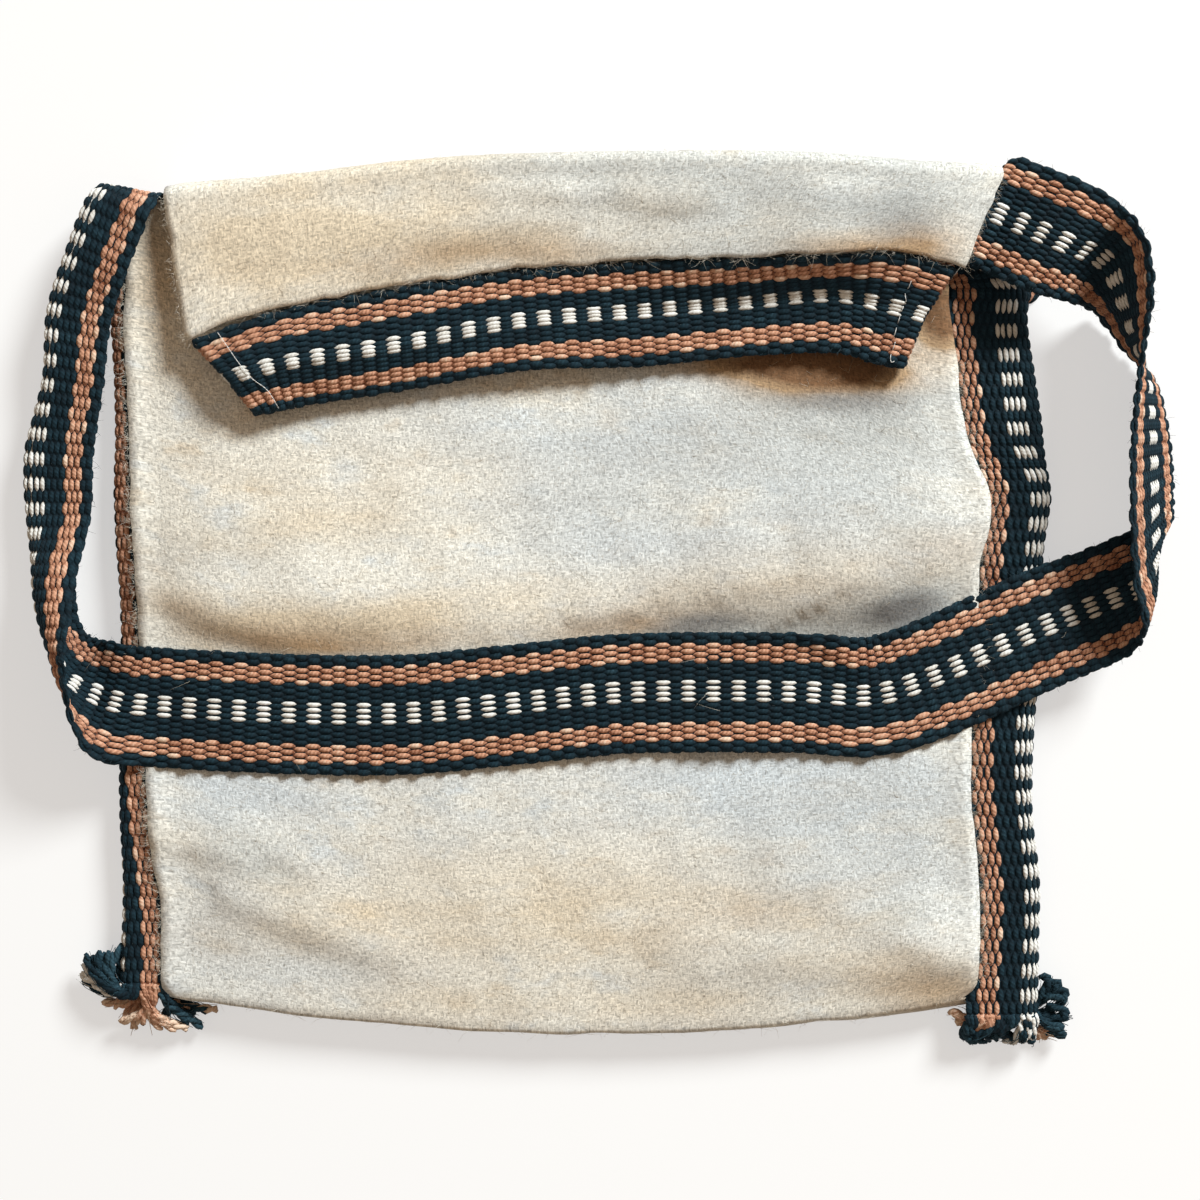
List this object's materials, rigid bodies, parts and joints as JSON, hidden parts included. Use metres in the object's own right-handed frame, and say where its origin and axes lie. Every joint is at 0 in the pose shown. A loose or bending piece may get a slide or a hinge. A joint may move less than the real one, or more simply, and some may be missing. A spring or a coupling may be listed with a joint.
{
  "type": "wool shoulder bag",
  "caption": "Flat handwoven wool shoulder bag with a fold-over flap; a woven striped band forms the side gussets, shoulder strap and flap trim, with frayed ends.",
  "frame": {"origin": "middle of the back panel's outside face, on which the bag lies", "axes": "+X to the bag's right seen from the front, +Y towards the flap's fold, +Z out of the front panel"},
  "size_m": [0.4096, 0.3167, 0.0422],
  "materials": {
    "wool_cloth": "napped cream wool cloth",
    "strap_weave": "warp-faced wool band, navy with terracotta stripes and a white ladder",
    "trim_weave": "warp-faced wool band, navy with terracotta stripes and a white ladder"
  },
  "bodies": {
    "root": {"bag_cloth": "wool_cloth", "strap_band": "strap_weave", "flap_trim_band": "trim_weave"}
  },
  "joints": []
}
